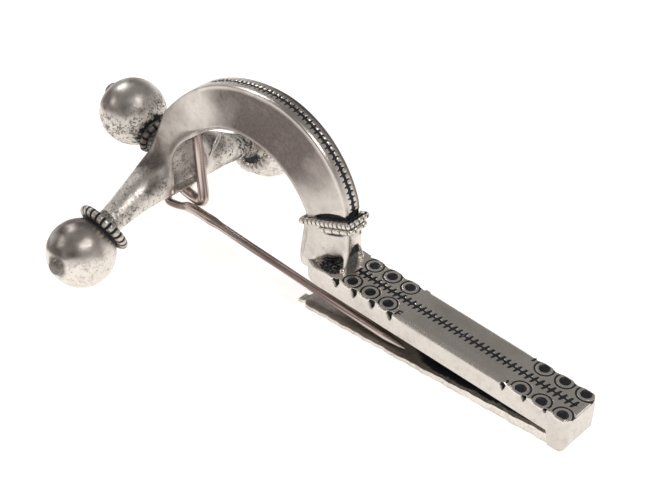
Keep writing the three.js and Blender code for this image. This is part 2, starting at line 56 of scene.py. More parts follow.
# Each field of rings: the first ring's X, and how far its two rows lie from the middle.
FIELDS = [(0, 2.17), (27.67, 2.38)]
RING, GROOVE, PIT = 1.25, 0.14, 0.74
LADDER = (0.3, 34.3, 40)  # start, end and ticks of the line along the foot
PLAIN = (8.55, 25.9)  # the plain stretch between the fields
TIP_BLOCK = 2.4

CATCH_START = -9.3
CATCH_WALL, CATCH_FAR, CATCH_NEAR = 0.8, 3.1, -3.1
# The lip at the neck and at the tip.
LIP_THICK = (0.68, 1.62)
LIP_LOW = (-9.0, -5.15)

BOW_HALF, NECK_HALF, HEAD_HALF = 1.48, 1.32, 3.6
# The bow's back and the arch under it: crown, radii to both sides and the turn of each arc.
BOW_TOP, BOW_R_HEAD, BOW_R_FOOT = (-16.1, 20.1), 23.6, 14.4
ARCH_TOP, ARCH_R_HEAD, ARCH_R_FOOT = (-20.15, 12.1), 13.4, 11.9
ARCH_MIDDLE = (ARCH_TOP[0], ARCH_TOP[1] - ARCH_R_HEAD)
BOW_TURN_HEAD, BOW_TURN_FOOT = 84, 72
ARCH_TURN_HEAD, ARCH_TURN_FOOT = 86, 66
BOW_RIDGE = 0.34
RIB_STEPS = 10  # stations to each rib of a cord or a beaded collar
NECK_BACK, NECK_FRONT, NECK_TOP = -9.7, -1.7, 5.2
COLLAR = Vector((-5.7, 0, 6.1))
COLLAR_TILT = math.radians(23.5)

BAR_X, BAR_Z = -36.6, -0.35
BAR_FALL, BAR_SAG = 0.2, 0.0087  # how the bar sinks with Y and with Y squared
ARM_END = 15.6
KNOB_RADIUS, KNOB_Y = 4.95, 18.5
KNOB_SWING, KNOB_DROOP = math.radians(8), math.radians(7)
BEAD_RING, BEAD_TUBE = 3.4, 0.85
BEAD_NEAR, BEAD_FAR = 14.2, 15.1
HEAD_KNOB = Vector((-46.0, 0, 3.5))
HEAD_KNOB_TILT = math.radians(19)
PEG = (-37.3, -6.45)
PEG_RADIUS, PEG_REACH = 0.36, 2.3
SLOT = {"near": -2.4, "far": 2.0, "low": -9.5, "high": -4.15, "back": -39.5}
WIRE = 0.6
LEG_X, LEG_LOW, LEG_BEND = -31.25, -5.55, 1.15
TURN_RADIUS, TURN_Y = 1.2, -1.4
NEEDLE_TIP, NEEDLE_Z = 9.3, -6.1


# ---- Shaping ----
def clamp(x):
    return max(0.0, min(1.0, x))


def smooth(a, b, x):
    """0 before a, 1 after b, with a soft step between."""
    t = clamp((x - a) / (b - a))
    return t * t * (3 - 2 * t)


def lerp(a, b, t):
    return a + (b - a) * t


def spread(a, b, count):
    return [lerp(a, b, i / count) for i in range(count + 1)]


def hump(*offsets):
    """1 in the middle, falling away with each offset from it, given in widths."""
    return math.exp(-sum(offset**2 for offset in offsets))


def key(point):
    """The name under which a point's marks are kept."""
    return tuple(round(c, 3) for c in point)


def total(parts):
    return sum(n for _, n in parts)


def part_at(parts, v):
    """The part of a mirrored section that v falls in, how far up it on its side, and the side."""
    i = round(v * total(parts))
    middle = len(parts) // 2
    for k, (part, n) in enumerate(parts):
        if i <= n:
            break
        i -= n
    t = i / n
    return part, 1 - t if k > middle else t, -1 if k < middle else 1


def skin(stations, around, shape):
    """Bends a grid into a closed skin: shape(station, v) gives a point, v from 0 to 1 round it."""
    bm = bmesh.new()
    rows = len(stations) - 1
    grid = bmesh.ops.create_grid(bm, x_segments=rows, y_segments=around, size=1)["verts"]
    for v in grid:
        i = round((v.co.x + 1) / 2 * rows)
        v.co = shape(stations[i], round((v.co.y + 1) / 2 * around) / around)
    bmesh.ops.remove_doubles(bm, verts=grid, dist=1e-4)
    ends = [e for e in bm.edges if e.is_boundary]
    if ends:
        bmesh.ops.holes_fill(bm, edges=ends, sides=0)
    bmesh.ops.recalc_face_normals(bm, faces=bm.faces)
    return bm


def add_object(name, data):
    thing = bpy.data.objects.new(name, data)
    bpy.context.scene.collection.objects.link(thing)
    return thing


def add_shape(bm, name="blank"):
    mesh = bpy.data.meshes.new(name)
    bm.to_mesh(mesh)
    bm.free()
    return add_object(name, mesh)


def make_piece(name, bm, marks=(), body="brooch", node="cast_body", crease=40):
    """Turns a shape to lie as the brooch lies, and makes it a piece.

    Its marks, hollow, grain and a third that holds painted shade and painted reflection (on the
    wire, its draw lines), are the same all over or come from a function of the point.
    """
    layers = [bm.verts.layers.float.new(word) for word in ("hollow", "grain", "shade_and_streaks")]
    for v in bm.verts:
        values = marks(v.co) if callable(marks) else marks
        for layer, value in zip(layers, values):
            v[layer] = value
    bm.transform(TO_ROW)
    piece = add_shape(bm, name)
    mesh = piece.data
    mesh.polygons.foreach_set("use_smooth", [True] * len(mesh.polygons))
    mesh.set_sharp_from_angle(angle=math.radians(crease))
    mesh.materials.append(STEEL if node == "pin_wire" else SILVER)
    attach(piece, body)
    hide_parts(node)


def modified(thing, *steps):
    """The shape that a thing has after modifiers, given as (kind, settings) pairs."""
    for kind, settings in steps:
        modifier = thing.modifiers.new(kind, kind)
        for key, value in settings.items():
            setattr(modifier, key, value)
    graph = bpy.context.evaluated_depsgraph_get()
    shaped = bmesh.new()
    shaped.from_mesh(thing.evaluated_get(graph).to_mesh())
    return shaped


def discard(*things):
    for thing in things:
        bpy.data.objects.remove(thing)


# ---- Finishes ----
class Value:
    """A shader value that Python's operators work on."""

    def __init__(self, finish, socket):
        self.finish = finish
        self.socket = socket

    def maths(self, operation, *values):
        return self.finish.add("ShaderNodeMath", {"operation": operation}, dict(enumerate(values)))

    def __add__(self, other):
        return self.maths("ADD", self, other)

    __radd__ = __add__

    def __mul__(self, other):
        return self.maths("MULTIPLY", self, other)

    __rmul__ = __mul__

    def __sub__(self, other):
        return self.maths("SUBTRACT", self, other)

    def __rsub__(self, other):
        return self.maths("SUBTRACT", other, self)

    def __or__(self, other):
        return self.maths("MAXIMUM", self, other)

    def ramp(self, low, high):
        """0 where the value is under low, 1 where it is over high."""
        ins = {0: self, 1: low, 2: high, 3: 0.0, 4: 1.0}
        soft = {"interpolation_type": "SMOOTHSTEP"}
        return self.finish.add("ShaderNodeMapRange", soft, ins)


class Finish:
    """The node tree of one finish."""

    def __init__(self, name):
        self.material = bpy.data.materials.new(name)
        self.material.use_nodes = True
        self.tree = self.material.node_tree
        self.tree.nodes.clear()
        self.place = self.add("ShaderNodeTexCoord", out="Object")

    def add(self, kind, settings=None, sockets=None, out=0):
        node = self.tree.nodes.new(kind)
        for key, value in (settings or {}).items():
            setattr(node, key, value)
        for key, value in (sockets or {}).items():
            if isinstance(value, Value):
                self.tree.links.new(value.socket, node.inputs[key])
            else:
                node.inputs[key].default_value = value
        return Value(self, node.outputs[out]) if node.outputs else node

    def mark(self, name):
        return self.add("ShaderNodeAttribute", {"attribute_name": name}, out="Fac")

    def stretched(self, scale):
        return self.add("ShaderNodeMapping", None, {"Vector": self.place, "Scale": scale})

    def noise(self, size, detail=3.0, rough=0.5, at=None):
        """Soft clouds whose patches are about so many millimetres across."""
        ins = {"Scale": 1000 / size, "Detail": detail, "Roughness": rough}
        ins["Vector"] = at or self.place
        return self.add("ShaderNodeTexNoise", None, ins)

    def mix(self, factor, a, b):
        ins = {0: factor, 6: a, 7: b}
        return self.add("ShaderNodeMix", {"data_type": "RGBA"}, ins, out=2)

    def bump(self, height, strength, distance):
        ins = {"Height": height, "Strength": strength, "Distance": distance}
        return self.add("ShaderNodeBump", None, ins)

    def close(self, sockets):
        shader = self.add("ShaderNodeBsdfPrincipled", None, sockets)
        self.add("ShaderNodeOutputMaterial", None, {"Surface": shader})
        return self.material


def silver_finish():
    """Cast silver: polished where hands reach, grainy where the mould shows, black in hollows, and
    turned towards a dark brown-grey by painted shade and painted reflection where the third mark
    says.
    """
    f = Finish("antiqued_silver")
    hollow, grain, shade_and_streaks = f.mark("hollow"), f.mark("grain"), f.mark("shade_and_streaks")
    clouds = f.noise(6.0, 4.0, 0.55)
    specks = f.noise(0.9, 5.0, 0.7)
    fine = f.noise(0.32, 4.0, 0.65)
    scratch = f.noise(1.0, 3.0, 0.6, at=f.stretched((0.3, 5.0, 3.0)))
    dots = f.add("ShaderNodeTexVoronoi", None, {"Vector": f.place, "Scale": 1000 / 0.42})
    spots = (0.24 - dots + (specks - 0.5) * 1.3 + (clouds - 0.5) * 0.5).ramp(0.0, 0.10)
    pits = ((fine * 0.6 + specks * 0.4 + clouds * 0.2).ramp(0.61, 0.67) * 0.7 | spots) * grain
    soot = hollow * (clouds * 0.35 + fine * 0.35 + 0.67 + (fine - 0.5) * grain * 1.5)
    black = soot.ramp(0.22, 0.72) | (pits * 0.85)
    tarnish = clouds.ramp(0.42, 0.68) * 0.22 + specks.ramp(0.48, 0.70) * 0.14
    tarnish += grain * specks.ramp(0.42, 0.62) * 0.25
    bare = f.mix(tarnish, (0.80, 0.75, 0.69, 1), (0.43, 0.375, 0.335, 1))
    # Painted shade and reflection, with some tarnish: where the third mark is high the bare silver
    # turns to this dark brown-grey.
    brown = f.mix(fine.ramp(0.3, 0.7), (0.135, 0.108, 0.098, 1), (0.195, 0.165, 0.152, 1))
    wear_and_shade = f.mix(shade_and_streaks * (clouds * 0.6 + specks * 0.2 + 0.6), bare, brown)
    colour = f.mix(black, wear_and_shade, (0.010, 0.011, 0.014, 1))
    rough = clouds * 0.12 + specks * 0.10 + grain * 0.16 + shade_and_streaks * 0.16 + black * 0.28 + 0.13
    height = fine * (grain * 1.7 + hollow * 1.2 + 0.2) + specks * (grain * 2.2 + hollow + 0.25)
    height = height + scratch * 0.35 + clouds * 1.8
    return f.close({
        "Base Color": colour,
        "Metallic": 1 - black * 0.75,
        "Roughness": rough,
        "Normal": f.bump(height, 0.32, 0.00012),
    })


def wire_finish():
    """Drawn wire: a warm brown-grey with draw lines along it."""
    f = Finish("pin_wire")
    # The streak mark holds the draw lines, lightened on the wire's low runs by painted light.
    drawn, clouds = f.mark("shade_and_streaks"), f.noise(4.0, 3.0)
    colour = f.mix(
        drawn.ramp(0.2, 0.8) * 0.85 + clouds * 0.25, (0.66, 0.565, 0.52, 1), (0.21, 0.155, 0.14, 1)
    )
    return f.close({
        "Base Color": colour,
        "Metallic": 1.0,
        "Roughness": clouds * 0.15 + drawn * 0.15 + 0.14,
        "Normal": f.bump(drawn, 0.25, 0.00008),
    })


SILVER = silver_finish()
STEEL = wire_finish()


# ---- Foot ----
def foot_marks(x, y):
    """Depth and blackness of the carving on the foot's top."""
    deep = black = 0.0
    for start, row in FIELDS:
        for i in range(3):
            r = math.hypot(x - start - i * PITCH, abs(y) - row)
            if r > 1.7:
                continue
            groove = 1 - smooth(GROOVE - 0.07, GROOVE + 0.07, abs(r - RING))
            pit = 1 - smooth(PIT - 0.22, PIT + 0.06, r)
            deep = max(deep, 0.09 * groove, 0.22 * pit)
            black = max(black, groove, 1 - smooth(PIT - 0.05, PIT + 0.08, r))
    first, last, ticks = LADDER
    step = (last - first) / ticks
    if first - 1.4 < x < last:
        thick = lerp(0.26, 0.17, smooth(0, 12, x))
        line = 1 - smooth(thick - 0.08, thick + 0.05, abs(y))
        off = abs((x - first - 0.2 * y) / step % 1 - 0.5) * step
        wide = 0.31 * (1 - 0.6 * abs(y))
        tick = (1 - smooth(wide * 0.7, wide, off)) * (1 - smooth(0.68, 0.8, abs(y)))
        deep = max(deep, 0.12 * line, 0.07 * tick)
        black = max(black, line, tick)
    start, end = PLAIN
    stem = abs(x - start + 0.4 - 0.12 * (y + 2.7) ** 2)
    stroke = (1 - smooth(0.1, 0.2, stem)) * smooth(-3.2, -3.0, y) * (1 - smooth(-2.15, -2.0, y))
    for at in (-2.15, -2.65):
        prong = 1 - smooth(0.08, 0.17, abs(y - at))
        stroke = max(stroke, prong * (1 - smooth(0.25, 0.4, abs(x - start + 0.1))))
    slant = (1 - smooth(0.12, 0.22, abs(x - end - 0.2 * (abs(y) - 3.0)))) * smooth(2.2, 2.4, abs(y))
    deep = max(deep, 0.05 * stroke, 0.06 * slant)
    black = max(black, stroke, slant)
    r = math.hypot((x + 4.0) / 1.75, (abs(y) - 2.05) / 1.4)
    scoop = 1 - smooth(0.85, 1.05, r + 0.2 * noise.noise((x * 2.5, y * 2.5, 0)))
    speckled = scoop * (0.72 + 0.5 * noise.noise((x * 3.5, y * 3.5, 4)))
    return max(deep, 0.12 * scoop), max(black, speckled)


# Places along the foot's edges where a line between two rings runs over, and their sizes.
NICKS = [(FIELDS[0][0] - 0.3 + (i - 0.5) * PITCH, 1.0) for i in range(4)]
NICKS += [(FIELDS[1][0] - 0.5 + (i - 0.5) * PITCH, 0.78 - 0.16 * i) for i in range(3)]


def nick(x, z):
    """How far a nick eats into the foot's side at x and z, 0 to 1."""
    most = 0.0
    for at, size in NICKS:
        down = (-0.05 - z) / (1.25 * size)
        if abs(x - at) > 1 or not 0 < down < 1:
            continue
        wide = size * 0.8 * min(1, 0.5 + 1.8 * down) * (1 - down) ** 0.8
        if wide > 0.03:
            most = max(most, 1 - smooth(0.6 * wide, wide, abs(x - at + 0.15 * (z + 0.5))))
    return most


def scallop(x):
    """The edge swells beside each ring and pulls in between them."""
    for start, _ in FIELDS:
        if start - 1.7 < x < start + 2.5 * PITCH + 0.2:
            return 0.26 * (0.5 - 0.5 * math.cos((x - start) / PITCH * 2 * math.pi)) ** 2
    return 0.0


FOOT_PARTS = [
    ("under", 3), ("side", 16), ("edge", 4), ("top", 74), ("edge", 4), ("side", 16), ("under", 3),
]


def foot():
    end = FOOT_END - FOOT_CORNER
    turn = [end + FOOT_CORNER * math.sin(math.radians(a)) for a in range(6, 91, 6)]
    stations = spread(FOOT_START, end, 420) + turn
    marks = {}

    def shape(x, v):
        part, t, side = part_at(FOOT_PARTS, v)
        inset = FOOT_CORNER - math.sqrt(max(0, FOOT_CORNER**2 - max(0, x - end) ** 2))
        start_in = 0.6 * clamp((FOOT_START + 1.5 - x) / 1.5)
        half = lerp(FOOT_HALF, FOOT_NOSE, clamp((x - FOOT_START) / (end - FOOT_START)))
        half = half - inset - start_in
        low = lerp(-FOOT_THICK, LIP_LOW[1], smooth(32.4, 33.0, x)) + inset * 0.6
        high = -0.5 * inset
        plain = smooth(PLAIN[0], PLAIN[0] + 0.3, x) * (1 - smooth(PLAIN[1] - 0.3, PLAIN[1], x))
        soft = lerp(0.28, 0.55, plain)
        half_top = half - scallop(x)
        if part == "under":
            y, z = side * half * t, low
        elif part == "side":
            z = lerp(low, high - soft, t)
            y = side * (lerp(half, half_top, smooth(-1.6, -0.3, z)) - 0.5 * nick(x, z))
        elif part == "edge":
            a = t * math.pi / 2
            y = side * (half_top - soft * (1 - math.cos(a)) - 0.5 * nick(x, -0.3) * (1 - t) ** 2)
            z = high - soft * (1 - math.sin(a))
        else:
            y = lerp(-half_top + soft, half_top - soft, t)
            deep, black = foot_marks(x, y)
            z = high - deep
            marks[key((x, y))] = black
        return Vector((x, y, z))

    def wear_and_shade(p):
        black = marks.get(key((p.x, p.y)), 0.0) if p.z > -0.6 else 0.0
        if abs(p.y) > 2.6:
            black = max(black, smooth(0.2, 0.6, nick(p.x, p.z)))
            line = 1 - smooth(0.04, 0.16, abs(p.z + 0.52 - 0.5 * scallop(p.x)))
            black = max(black, 0.42 * line * (0.6 + 0.6 * noise.noise((p.x * 0.7, 3, 0))))
        # Painted shade: the inner part of the underside is blackened, so the channel of the catch
        # looks dark.
        under = 1 - smooth(-3.1, -2.85, p.z) if p.x < 32.8 else 0.0
        inner = smooth(-2.9, -1.7, p.y)
        end_nick = 0.9 * (1 - smooth(0.12, 0.3, math.hypot(p.y + 1.6, (p.z + 0.5) * 0.6)))
        if p.x <= 34.5:
            end_nick = 0
        plain = smooth(PLAIN[0], PLAIN[0] + 3, p.x) * (1 - smooth(PLAIN[1] - 3, PLAIN[1], p.x))
        top = smooth(-0.4, -0.2, p.z)
        streak = 0.5 + 0.9 * noise.noise((p.x * 0.12, p.y * 0.5, 7))
        streak += 0.3 * noise.noise((p.x * 0.6, p.y * 1.6, 2))
        handled = 0.26 * plain * clamp(streak) * (1 - 0.7 * smooth(2.2, 3.0, abs(p.y)))
        # Painted shade on the sides, which are darker than the top; along the plain stretch the top
        # gets streaky tone.
        shade_and_streaks = 0.22 * (1 - top) + top * handled
        # Painted shade on the top where it meets the near foot of the neck.
        ledge_shade = top * smooth(-3.6, -5.5, p.x) * 0.6 * (p.y < 0)
        black = max(black, 0.95 * under * inner * smooth(7, 12, p.x), end_nick)
        return black, 0.06 + 0.1 * smooth(0.5, 3.0, -p.z), max(shade_and_streaks, ledge_shade)

    make_piece("foot", skin(stations, total(FOOT_PARTS), shape), wear_and_shade)


def lip_low(x):
    run = FOOT_END - TIP_BLOCK - CATCH_START
    return lerp(*LIP_LOW, clamp((x - CATCH_START) / run))


def lip_thick(x):
    return lerp(*LIP_THICK, clamp((x - 9) / 23.7))


def near_edge(x):
    """The lip's free edge, a little wavy."""
    return CATCH_NEAR + 0.05 * math.sin(x * 1.3) + 0.04 * math.sin(x * 3.1 + 1)


def slab(stations, corners, softness=0.12):
    """A bar with the same corners at each station, its long edges softened."""
    sides = len(corners(stations[0]))
    along_side = [0, 0.04, 0.2, 0.5, 0.8, 0.96]
    steps = len(along_side)

    def shape(x, v):
        loop = corners(x)
        k, step = divmod(round(v * sides * steps), steps)
        p, q = Vector(loop[k % sides]), Vector(loop[(k + 1) % sides])
        r, s = Vector(loop[(k - 1) % sides]), Vector(loop[(k + 2) % sides])
        t = along_side[step]
        point = p.lerp(q, t)
        pull_p = max(0, 1 - t * (q - p).length / softness) * 0.3
        pull_q = max(0, 1 - (1 - t) * (q - p).length / softness) * 0.3
        point += (r - p).normalized() * softness * pull_p + (s - q).normalized() * softness * pull_q
        return Vector((x, point[0], point[1]))

    return skin(stations, sides * steps, shape)


def catch():
    """The catch-plate under the foot: a lip along its free edge and the wall behind it."""
    stop = FOOT_END - TIP_BLOCK + 0.6

    def lip(x):
        low = lip_low(x)
        near = near_edge(x)
        if x < CATCH_START + 1.7:
            near = lerp(near, -0.9, clamp(1 - (x - CATCH_START - 0.8) / 0.9) ** 2)
        mouth = smooth(CATCH_START + 0.2, CATCH_START + 1.6, x)
        near = lerp(-2.7, near, smooth(0.3, 1, mouth))
        far = lerp(-1.2, CATCH_FAR, smooth(0.35, 0.6, mouth))
        thick = lip_thick(x) * lerp(0.75, 1, mouth)
        inner = lerp(near, far, 0.2)
        return [
            (near, low), (far, low), (far, low + thick),
            (inner, low + thick), (near, low + thick * 0.86),
        ]

    def wear_and_shade(p):
        thick = lip_thick(p.x)
        on_top = smooth(-0.22, -0.1, p.z - lip_low(p.x) - thick)
        ragged = 0.25 * noise.noise((p.x * 0.5, 1, 1)) + 0.1 * noise.noise((p.x * 2.1, 2, 1))
        # Painted shade: the lip's top is blackened inside the channel further along, and darkened
        # towards the neck.
        inside = on_top * smooth(-2.75 + ragged, -2.3 + ragged, p.y)
        deep = inside * smooth(5, 13, p.x + 1.5 * p.y)
        seam = 1 - smooth(0.03, 0.1, abs(p.z - lip_low(p.x) - 0.36 * thick - 0.1 * ragged))
        seam *= 0.5 * smooth(-2.7, -2.95, p.y) * smooth(10, 16, p.x)
        return max(0.97 * deep, seam), 0.25, on_top * lerp(0.62, 0.1, smooth(6, 17, p.x - p.y))

    make_piece("catch_lip", slab(spread(CATCH_START, stop, 260), lip), wear_and_shade)

    def wall(x):
        low = lip_low(x) + 0.2
        back = CATCH_FAR - CATCH_WALL
        return [(back, low), (CATCH_FAR - 0.03, low), (CATCH_FAR - 0.03, -2.7), (back, -2.7)]

    def wall_in_shade(p):
        # Painted shade: the wall's face in the channel is darkened and turns black further along;
        # the streaks along it are its own.
        inside = 1.0 if p.y < 2.6 else 0.1
        streak = 0.5 + 0.5 * noise.noise((p.x * 0.1, 0, p.z * 2.0))
        return inside * max(smooth(8, 14, p.x), 0.2 * streak), 0.2, 0.62 * inside

    make_piece("catch_wall", slab(spread(CATCH_START + 0.9, stop, 160), wall), wall_in_shade)


# ---- Bow and neck ----
def fall(crown, radius, side, turn):
    """A point so far round an arc that falls to one side from its crown."""
    return Vector((
        crown[0] + side * radius * math.sin(turn), crown[1] - radius * (1 - math.cos(turn))
    ))


def bow_half(t):
    """Half the bow's width at t: -1 is its root in the head, 0 its crown and 1 the neck."""
    if t > 0:
        return lerp(BOW_HALF, NECK_HALF, t)
    return lerp(BOW_HALF, HEAD_HALF, smooth(0.3, 0.95, -t))


def arch_half(angle):
    """Half the bow's width where the arch stands so many degrees above level."""
    return bow_half(max(-1, -(90 - angle) / ARCH_TURN_HEAD))


def bow_lines(t):
    """Where the bow's back and the arch under it are at t."""
    if t < 0:
        outer = fall(BOW_TOP, BOW_R_HEAD, -1, -t * math.radians(BOW_TURN_HEAD))
        return outer, fall(ARCH_TOP, ARCH_R_HEAD, -1, -t * math.radians(ARCH_TURN_HEAD))
    outer = fall(BOW_TOP, BOW_R_FOOT, 1, t * math.radians(BOW_TURN_FOOT))
    return outer, fall(ARCH_TOP, ARCH_R_FOOT, 1, t * math.radians(ARCH_TURN_FOOT))


def low_edge_at(t):
    """How far the edges under the bow are cut back at t."""
    return lerp(0.2, 1.3, smooth(0.3, 0.8, -t))


def into_bow(outer, inner):
    inward = (inner - outer).normalized()
    return Vector((inward.x, 0, inward.y))


BOW_PARTS = [
    ("inner", 5), ("foot edge", 3), ("side", 32), ("ridge", 4), ("back", 30),
    ("ridge", 4), ("side", 32), ("foot edge", 3), ("inner", 5),
]
BOW_ROUND = total(BOW_PARTS)


def bow_section(outer, inner, half, low_edge, v):
    """A point of the bow's section, its part's name and its depth from the back."""
    part, t, side = part_at(BOW_PARTS, v)
    ridge = BOW_RIDGE
    span = (outer - inner).length
    if part == "inner":
        y, depth = side * (half - low_edge) * t, span
    elif part == "foot edge":
        y, depth = side * (half - low_edge * (1 - t)), span - low_edge * t
    elif part == "side":
        depth = lerp(span - low_edge, ridge, t)
        y = side * (half - 0.05 * math.sin(math.pi * t))
    elif part == "ridge":
        a = t * math.pi / 2
        y = side * (half - ridge * (1 - math.cos(a)) * 0.9)
        depth = ridge * (1 - math.sin(a)) * 0.8
    else:
        y = lerp(-half + 0.9 * ridge, half - 0.9 * ridge, t)
        depth = -0.06 * (1 - (y / half) ** 2)
    point = outer.lerp(inner, depth / span)
    return Vector((point.x, y, point.y)), part, depth


def bow_ladder(s, y):
    """Height and blackness of the ladder line along the bow's back, s along it."""
    step = 0.80
    k = math.floor(s / step)
    phase = s / step - k - 0.5
    centre = 0.06 * (1 - 4 * abs(phase)) * (1 if k % 2 else -1)
    half = lerp(0.10, 0.19, smooth(6, 34, s))
    line = 1 - smooth(half, half + 0.1, abs(y - centre))
    off = abs(abs(phase) - 0.5) * step
    wide = 0.23 * (1 - abs(y) / 0.9)
    tick = 0
    if wide > 0.02:
        tick = (1 - smooth(wide * 0.7, wide * 1.1, off)) * (1 - smooth(0.55, 0.75, abs(y)))
    bead = hump(phase * step / 0.24, (y - 0.45) / 0.17)
    height = 0.05 * bead - max(0.14 * line, 0.08 * tick)
    return height, max(line, tick)


def in_collar(p):
    """A point seen from the neck collar: x along its side, y across, z up through it."""
    q = p - COLLAR
    c, s = math.cos(COLLAR_TILT), math.sin(COLLAR_TILT)
    return Vector((q.x * c + q.z * s, q.y, -q.x * s + q.z * c))


def from_collar(x, y, z):
    """The point that in_collar sees at x, y and z."""
    c, s = math.cos(COLLAR_TILT), math.sin(COLLAR_TILT)
    return COLLAR + Vector((x * c - z * s, y, x * s + z * c))


def neck_spread(p):
    """The neck spreads sideways on its way down, most behind, where it meets the foot's edges."""
    behind = smooth(-4.3, -7.4, p.x) * (1 - 0.5 * smooth(-8.2, -9.7, p.x))
    before = smooth(-3.2, -2.0, p.x) * smooth(3.4, 0.4, p.z) * (0.5 if p.y < 0 else 0.6)
    return 1.75 * clamp((5.2 - p.z) / 5.4) ** 1.2 * behind + before


def neck_hollows(p, part):
    """How far the hollows of the neck eat in at a point of its skin, and how black they are."""
    q = in_collar(p)
    eat = black = 0.0
    if part in ("side", "ridge", "foot edge") and -2.3 < q.x < 4.9 and 0 < q.z < 2:
        top = 0.5 + 0.72 * math.sin(math.pi * clamp((q.x + 2.1) / 6.9)) ** 0.6
        band = 1 - smooth(top - 0.12, top + 0.08, q.z + 0.08 * noise.noise(p * 2.5))
        band *= smooth(-2.2, -1.8, q.x)
        eat, black = 0.3 * band, band
    if part in ("back", "ridge") and q.x > 2 and 0 < q.z < 2:
        band = 1 - smooth(1.35, 1.6, q.z + 0.25 * abs(p.y) + 0.08 * noise.noise(p * 2.5))
        eat, black = max(eat, 0.25 * band), max(black, band)
    if part in ("side", "foot edge"):
        top = lerp(0.15, 1.7, clamp((p.x + 6.1) / 3.1)) + 0.3 * noise.noise(p * 1.6)
        scoop = 1 - smooth(top - 0.45, top + 0.3, p.z)
        scoop = scoop * smooth(-6.3, -5.6, p.x) * smooth(-2.2, -2.8, p.x)
        eat, black = max(eat, 0.5 * scoop), max(black, scoop * (0.72 + 0.5 * noise.noise(p * 3.5)))
    if part == "back" and p.z < 4.6:
        half = 1.5 * math.sqrt(max(0, 1 - (max(p.z, 0) / 3.9) ** 2)) + 0.01
        niche = 1 - smooth(0.8, 1.0, abs(p.y + 0.02) / half)
        eat = max(eat, 0.5 * niche)
        black = max(black, niche * lerp(0.62, 1, smooth(1.7, 2.5, p.z)))
    return eat, black


def bow():
    """The bow from the head's root to the bottom of the neck."""
    stations = []
    run = 0.0
    last = None
    first = -0.44
    for t in spread(first, 1, 300):
        outer, inner = bow_lines(t)
        run += (outer - last).length if last else 0
        last = outer
        edge = low_edge_at(t)
        tuck = 0.07 * (1 - smooth(first, first + 0.06, t))
        stations.append((outer, inner, bow_half(t) - tuck, edge, run, t, tuck))
    knee, back = Vector((NECK_FRONT, NECK_TOP)), Vector((NECK_BACK, NECK_TOP - 1))
    end_out, end_in = bow_lines(1)
    for t in spread(0, 1, 44)[1:]:
        at = end_out.lerp(knee, t)
        s = run + (at - end_out).length
        stations.append((at, end_in.lerp(back, t), NECK_HALF, 0.2, s, 2, 0))
    for t in spread(0, 1, 58)[1:]:
        low = Vector((0, -6.7 * t))
        stations.append((knee + low, back + low + Vector((0, t)), NECK_HALF, 0.2, 99, 3, 0))
    marks = {}
    ladder_from = 1.2

    def shape(station, v):
        outer, inner, half, edge, s, t, tuck = station
        p, part, depth = bow_section(outer, inner, half, edge, v)
        inward = into_bow(outer, inner)
        black = 0.0
        if t < 3 and part == "back" and s > ladder_from and in_collar(p).z > 0.6:
            height, black = bow_ladder(s - ladder_from, p.y)
            p -= inward * height
        p += inward * tuck if part in ("back", "ridge") else -inward * tuck
        if part in ("side", "foot edge", "ridge"):
            p.y += math.copysign(neck_spread(p), p.y)
        eat, soot = neck_hollows(p, part)
        if eat:
            rough = 0.12 * noise.noise(p * 3.2) * min(1, eat * 4)
            if part == "back":
                p += inward * (eat + rough)
            else:
                p.y -= math.copysign(eat + rough, p.y)
        shade_and_streaks = 0.0
        # Painted shade and painted reflection: the sides darken in the bow's middle and towards
        # their inner edges, the parts under the bow darken, and so does the far edge of the back.
        if part == "side":
            span = (outer - inner).length
            edge_in = smooth(0.0, 0.5, depth - BOW_RIDGE) * smooth(0.0, 0.6, span - depth - 0.25)
            slip = 0.12 * noise.noise(p * 0.3)
            middle = smooth(-0.46, -0.12, t + slip) * (1 - smooth(0.48, 0.94, t + slip))
            shade_and_streaks = lerp(0.32 if t < 2 else 0.2, 1.0, middle ** 0.8) * lerp(0.35, 1.0, edge_in)
            seam = 1 - smooth(0.06, 0.2, abs(span - depth - 0.42))
            black = 0.42 * seam * (1 - smooth(-0.1, 0.25, t))
        elif part != "back":
            shade_and_streaks = 0.7 if part == "inner" else 0.35
        elif t < 3:
            black = max(black, 0.55 * smooth(0.75, 1.1, p.y) * smooth(-0.1, 0.2, t))
            shade_and_streaks = 0.2 + 0.75 * smooth(0.4, 1.0, p.y) * smooth(-0.3, 0.1, t)
            shade_and_streaks += 0.2 * smooth(0.6, 1.1, -p.y)
        marks[key(p)] = max(black, soot), shade_and_streaks
        return p

    def wear_and_shade(p):
        black, shade_and_streaks = marks.get(key(p), (0.0, 0.0))
        q = in_collar(p)
        shade = 0.75 * (1 - smooth(0.0, 0.55, abs(q.z + 1.75)))
        shade *= (1 - smooth(0.5, 3.2, abs(q.x - 0.9)))
        foot_of_neck = smooth(3.2, 0.8, p.z) * smooth(-6.5, -5.0, p.x)
        speckled = 0.75 * foot_of_neck * smooth(-2.0, -2.6, p.x)
        return max(black, shade), 0.06 + speckled, shade_and_streaks

    make_piece("bow", skin(stations, BOW_ROUND, shape), wear_and_shade, crease=55)


# The sides of the cord's loop: which way each runs, which way is out, and its first corner.
LOOP = [
    (Vector((-1, 0)), Vector((0, -1)), (1, -1)),
    (Vector((0, 1)), Vector((-1, 0)), (-1, -1)),
    (Vector((1, 0)), Vector((0, 1)), (-1, 1)),
    (Vector((0, -1)), Vector((1, 0)), (1, 1)),
]


